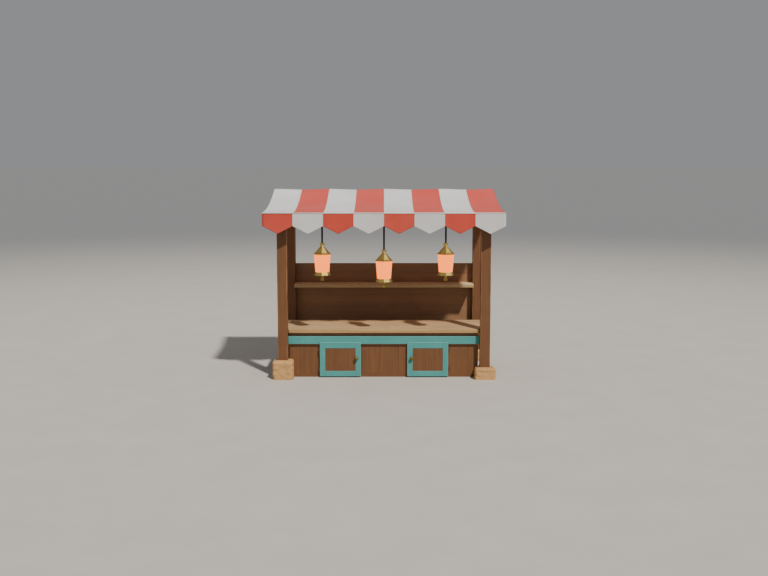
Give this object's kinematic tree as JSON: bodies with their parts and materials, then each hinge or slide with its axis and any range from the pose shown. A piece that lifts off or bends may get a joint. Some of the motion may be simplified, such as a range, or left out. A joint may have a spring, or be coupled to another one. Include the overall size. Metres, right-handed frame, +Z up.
{
  "type": "wooden market stall",
  "caption": "Open timber market stall with a striped canopy and pennant valance, counter cabinet with hinged doors, back shelf and hanging lanterns.",
  "frame": {"origin": "on the ground, at the centre of the outline seen from above", "axes": "+Z up, +X to the right seen from the front, the counter faces -Y"},
  "size_m": [3.352, 1.79, 2.64],
  "materials": {
    "stained_wood": "brown stained timber",
    "planed_wood": "pale planed timber",
    "teal_paint": "teal painted timber",
    "striped_canvas": "woven canvas in red and white stripes",
    "black_iron": "black iron",
    "brass": "aged brass",
    "lantern_glass": "lit opal glass",
    "sandstone": "dressed sandstone"
  },
  "bodies": {
    "stall": {"footing_front_left": "sandstone", "footing_front_right": "sandstone", "footing_back_left": "sandstone", "footing_back_right": "sandstone", "post_front_left": "stained_wood", "post_front_right": "stained_wood", "post_back_left": "stained_wood", "post_back_right": "stained_wood", "front_beam": "stained_wood", "back_beam": "stained_wood", "end_rafters": "stained_wood", "lantern_rafters": "stained_wood", "eave_rail": "stained_wood", "canopy": "striped_canvas", "valance": "striped_canvas", "back_wall": "stained_wood", "shelf": "planed_wood", "shelf_cleat": "stained_wood", "counter_top": "planed_wood", "apron": "teal_paint", "cabinet_top_rail": "stained_wood", "cabinet_bottom_rail": "stained_wood", "cabinet_front_left": "stained_wood", "cabinet_front_middle": "stained_wood", "cabinet_front_right": "stained_wood", "cabinet_side_left": "stained_wood", "cabinet_side_right": "stained_wood", "cabinet_back": "stained_wood", "cabinet_floor": "stained_wood", "cabinet_hinges": "black_iron", "lantern_brackets": "black_iron"},
    "door_left": {"door_left_frame": "teal_paint", "door_left_panel": "stained_wood", "door_left_knob": "brass", "door_left_hinges": "black_iron"},
    "door_right": {"door_right_frame": "teal_paint", "door_right_panel": "stained_wood", "door_right_knob": "brass", "door_right_hinges": "black_iron"},
    "lantern_left": {"lantern_left_rod": "black_iron", "lantern_left_metalwork": "brass", "lantern_left_glass": "lantern_glass"},
    "lantern_middle": {"lantern_middle_rod": "black_iron", "lantern_middle_metalwork": "brass", "lantern_middle_glass": "lantern_glass"},
    "lantern_right": {"lantern_right_rod": "black_iron", "lantern_right_metalwork": "brass", "lantern_right_glass": "lantern_glass"}
  },
  "joints": [
    {"name": "door_left_hinge", "type": "hinge", "parent": "stall", "child": "door_left", "pos_m": [-0.9195, -0.5755, 0.25], "axis": [0, 0, -1], "range_deg": [0, 110]},
    {"name": "door_right_hinge", "type": "hinge", "parent": "stall", "child": "door_right", "pos_m": [0.9195, -0.5755, 0.25], "axis": [0, 0, 1], "range_deg": [0, 110]},
    {"name": "lantern_left_swing", "type": "hinge", "parent": "stall", "child": "lantern_left", "pos_m": [-0.858, -0.771, 2.279], "axis": [0, 1, 0], "range_deg": [-20, 20]},
    {"name": "lantern_middle_swing", "type": "hinge", "parent": "stall", "child": "lantern_middle", "pos_m": [0, -0.771, 2.279], "axis": [0, 1, 0], "range_deg": [-20, 20]},
    {"name": "lantern_right_swing", "type": "hinge", "parent": "stall", "child": "lantern_right", "pos_m": [0.858, -0.771, 2.279], "axis": [0, 1, 0], "range_deg": [-20, 20]}
  ]
}
